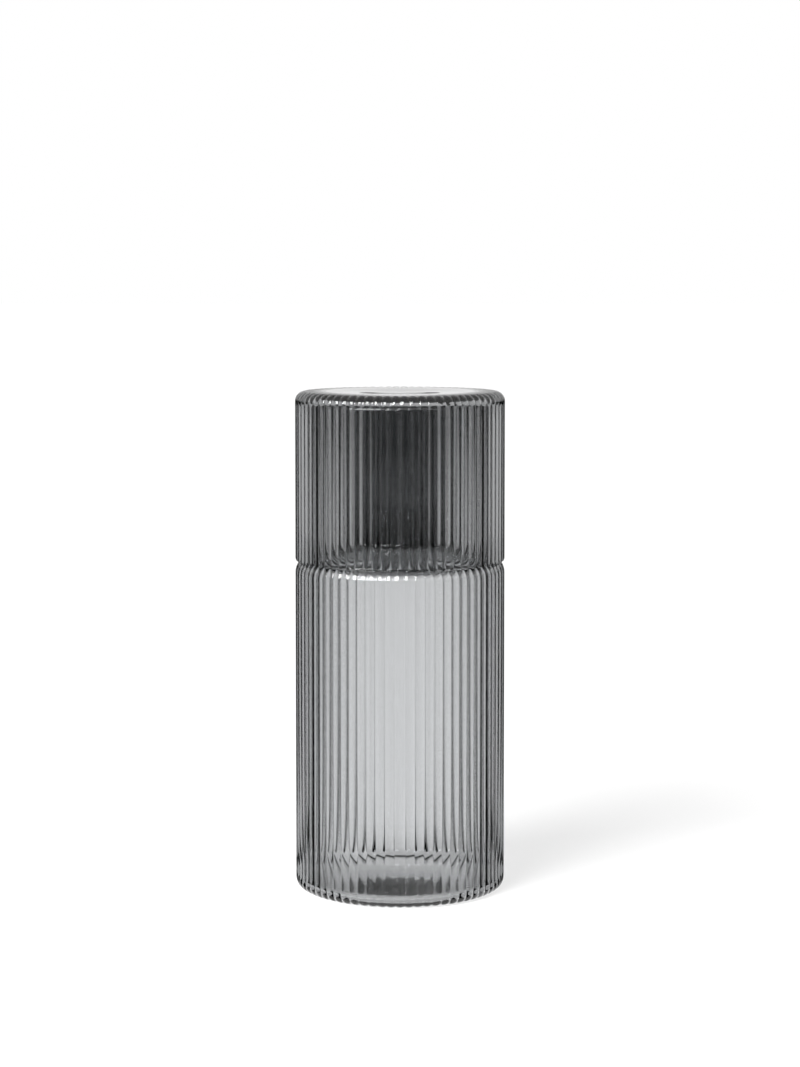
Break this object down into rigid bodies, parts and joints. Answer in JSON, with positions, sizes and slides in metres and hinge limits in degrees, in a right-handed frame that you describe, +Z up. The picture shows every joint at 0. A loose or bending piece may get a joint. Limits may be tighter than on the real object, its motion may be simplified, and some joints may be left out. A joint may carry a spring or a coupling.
{
  "type": "bedside carafe with tumbler",
  "caption": "Ribbed cylindrical glass carafe with a plain narrow neck, and a matching ribbed tumbler set upside down over the neck as its lid.",
  "frame": {"origin": "centre of the carafe's base, on the surface that it stands on", "axes": "+Z up along the common axis of the carafe and the tumbler; the object looks the same from every side"},
  "size_m": [0.09, 0.09, 0.2138],
  "materials": {
    "smoke_glass": "clear, polished, smoke grey"
  },
  "bodies": {
    "carafe": {"carafe": "smoke_glass"},
    "tumbler": {"tumbler": "smoke_glass"}
  },
  "joints": [
    {"name": "tumbler_lift", "type": "slide", "parent": "carafe", "child": "tumbler", "axis": [0, 0, 1], "range_m": [0, 0.1]}
  ]
}
